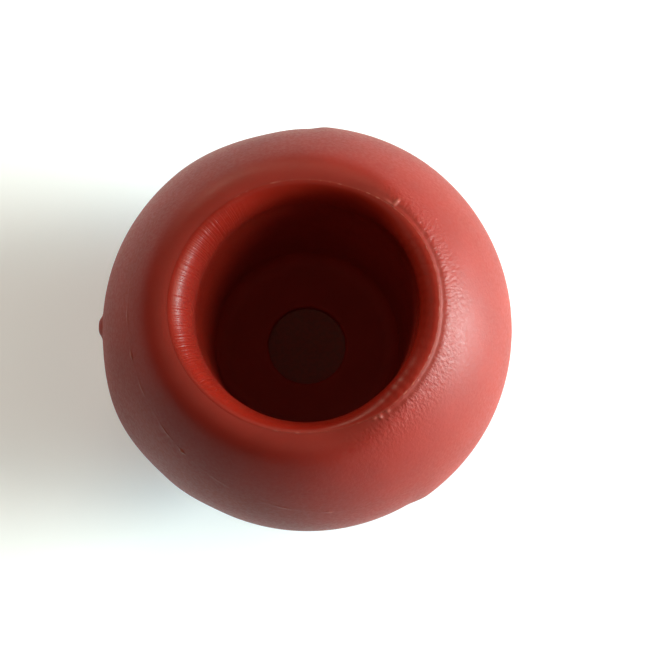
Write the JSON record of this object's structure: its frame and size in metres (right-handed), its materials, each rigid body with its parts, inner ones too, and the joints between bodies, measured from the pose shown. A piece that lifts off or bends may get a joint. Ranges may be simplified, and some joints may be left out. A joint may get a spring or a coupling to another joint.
{
  "type": "case opening friction ball",
  "caption": "Soft hollow ball with a deep round grip cup, whose rolled lip is pressed on a watch's screw back and turned by hand.",
  "frame": {"origin": "middle of the flat face that the ball rests on", "axes": "+Z along the cup's axis, out of its mouth; the seam leans down towards +X"},
  "size_m": [0.05, 0.05, 0.0435],
  "materials": {
    "shell_rubber": "finely grained soft red rubber with a satin sheen",
    "cup_rubber": "smooth soft red rubber with a satin gloss",
    "plug_rubber": "matt dark rubber"
  },
  "bodies": {
    "root": {"lower_shell": "shell_rubber", "upper_collar": "shell_rubber", "grip_cup": "cup_rubber", "vent_plug": "plug_rubber"}
  },
  "joints": []
}
